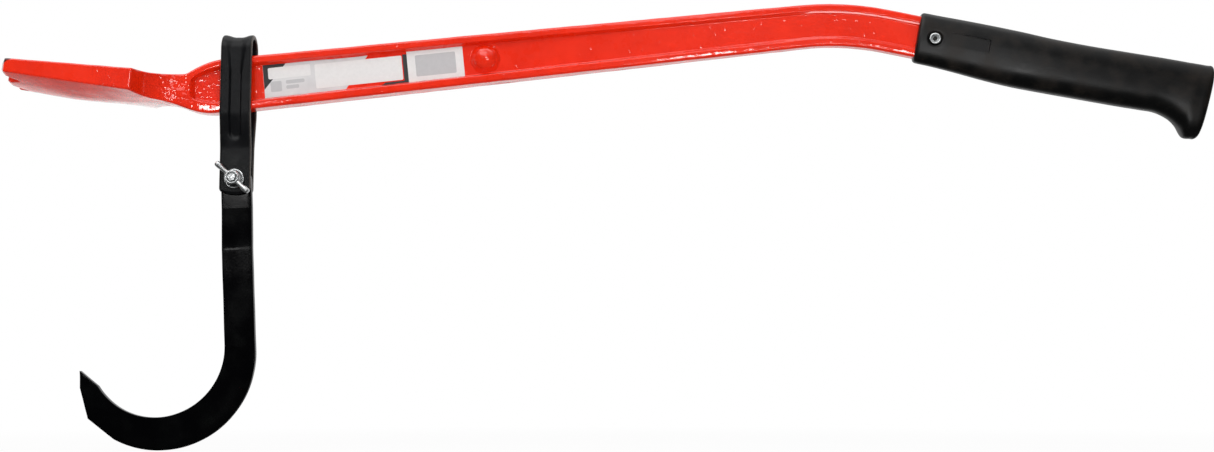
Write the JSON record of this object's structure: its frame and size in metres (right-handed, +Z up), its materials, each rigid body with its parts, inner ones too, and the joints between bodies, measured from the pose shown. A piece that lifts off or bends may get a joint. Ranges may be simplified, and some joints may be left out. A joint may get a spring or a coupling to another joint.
{
  "type": "felling lever with cant hook",
  "caption": "One-hand steel felling lever with a toothed spade blade, a bent I-section shaft, a rubber grip and a hook that slides on a strap and turns at a wing-nut bolt.",
  "frame": {"origin": "under the middle of the tool's bounding box, at the level of the lowest point of the hanging hook", "axes": "+X from the toothed blade towards the grip, +Z up, +Y across the tool and away from the wing nut"},
  "size_m": [0.8328, 0.072, 0.3083],
  "materials": {
    "red_enamel": "gloss enamel over rough forged steel",
    "black_coating": "satin",
    "black_enamel": "gloss",
    "zinc_plate": "bright zinc plate",
    "grip_rubber": "moulded, matt"
  },
  "bodies": {
    "lever": {"lever": "red_enamel", "stop_rivet": "red_enamel", "grip": "grip_rubber", "grip_rivet": "zinc_plate"},
    "strap": {"hook_strap": "black_coating", "hook_bolt": "zinc_plate", "bolt_washer": "zinc_plate"},
    "hook": {"hook": "black_enamel"},
    "wing_nut": {"wing_nut": "zinc_plate"}
  },
  "joints": [
    {"name": "strap_slide", "type": "slide", "parent": "lever", "child": "strap", "axis": [0.9945, 0, 0.1045], "range_m": [-0.025, 0.152]},
    {"name": "hook_pivot", "type": "hinge", "parent": "strap", "child": "hook", "pos_m": [-0.2608, 0, 0.1849], "axis": [0, 1, 0], "range_deg": [-100, 62]},
    {"name": "wing_nut_turn", "type": "hinge", "parent": "strap", "child": "wing_nut", "pos_m": [-0.2608, -0.012, 0.1849], "axis": [0, 1, 0], "continuous": true}
  ]
}
